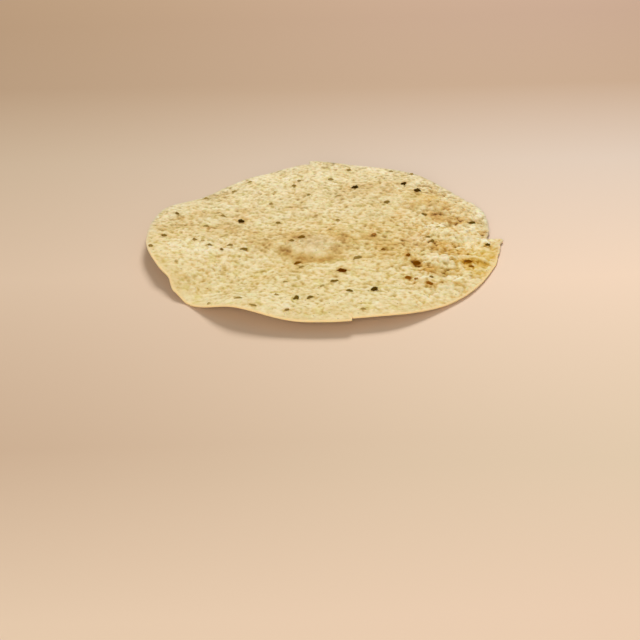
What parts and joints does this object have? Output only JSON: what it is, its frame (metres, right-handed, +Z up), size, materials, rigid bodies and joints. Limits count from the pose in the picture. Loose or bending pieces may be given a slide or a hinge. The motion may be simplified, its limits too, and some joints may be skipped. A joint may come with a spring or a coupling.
{
  "type": "papadum",
  "caption": "Large crisp papadum: a thin wavy disc of fried lentil bread with blisters, a chipped rim, and cumin seeds and cracked pepper baked in.",
  "frame": {"origin": "centre of the papadum's box, on the surface that it lies on", "axes": "+Z up out of the upper face, -Y towards the front of the rim as pictured, +X to its right"},
  "size_m": [0.181, 0.1796, 0.0092],
  "materials": {
    "crisp_bread": "matt, pebbly and blistered, pale straw gold with toasted patches",
    "baked_seed": "dull dark brown to black whole cumin and cracked pepper"
  },
  "bodies": {
    "root": {"papadum": "crisp_bread"}
  },
  "joints": []
}
